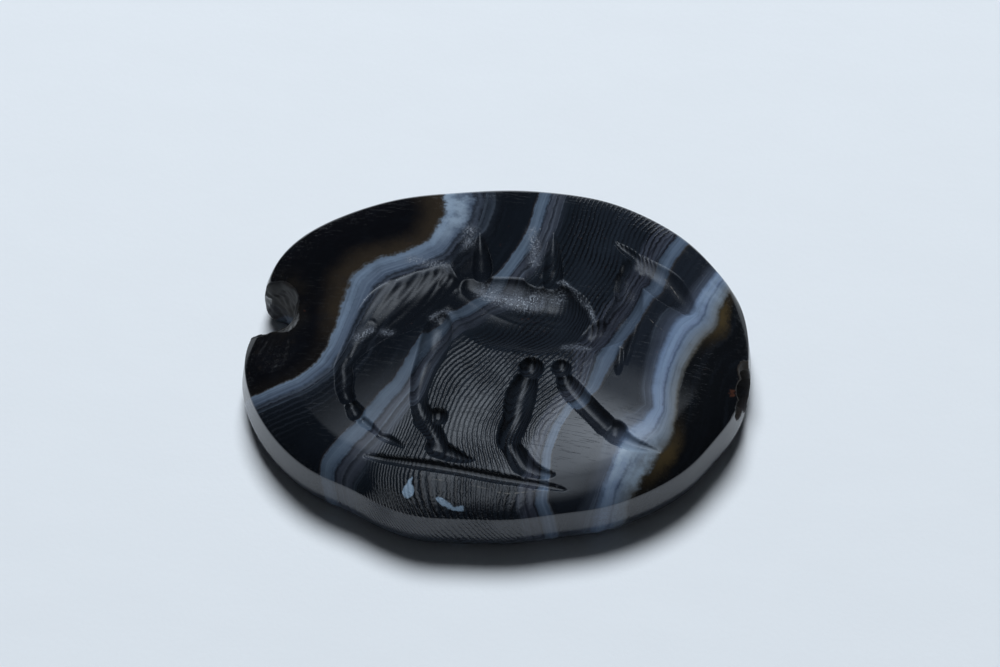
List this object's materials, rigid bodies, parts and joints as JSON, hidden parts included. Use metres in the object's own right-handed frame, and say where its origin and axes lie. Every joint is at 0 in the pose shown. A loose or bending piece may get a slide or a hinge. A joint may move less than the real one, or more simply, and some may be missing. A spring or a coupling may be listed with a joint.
{
  "type": "engraved agate ringstone",
  "caption": "Drilled oval gem of banded agate with a camel carved into its domed face, a flat underside and one end of the bore broken out to a notch.",
  "frame": {"origin": "under the middle of the stone's bounding box, on the flat underside", "axes": "+X along the drilled hole and the picture's ground line, the way the animal walks; +Y the picture's upward direction; +Z out of the engraved face"},
  "size_m": [0.0168, 0.0138, 0.0034],
  "materials": {
    "agate": "polished black and slate agate with bluish-white bands, worn, with fine scratches"
  },
  "bodies": {
    "root": {"engraved_stone": "agate"}
  },
  "joints": []
}
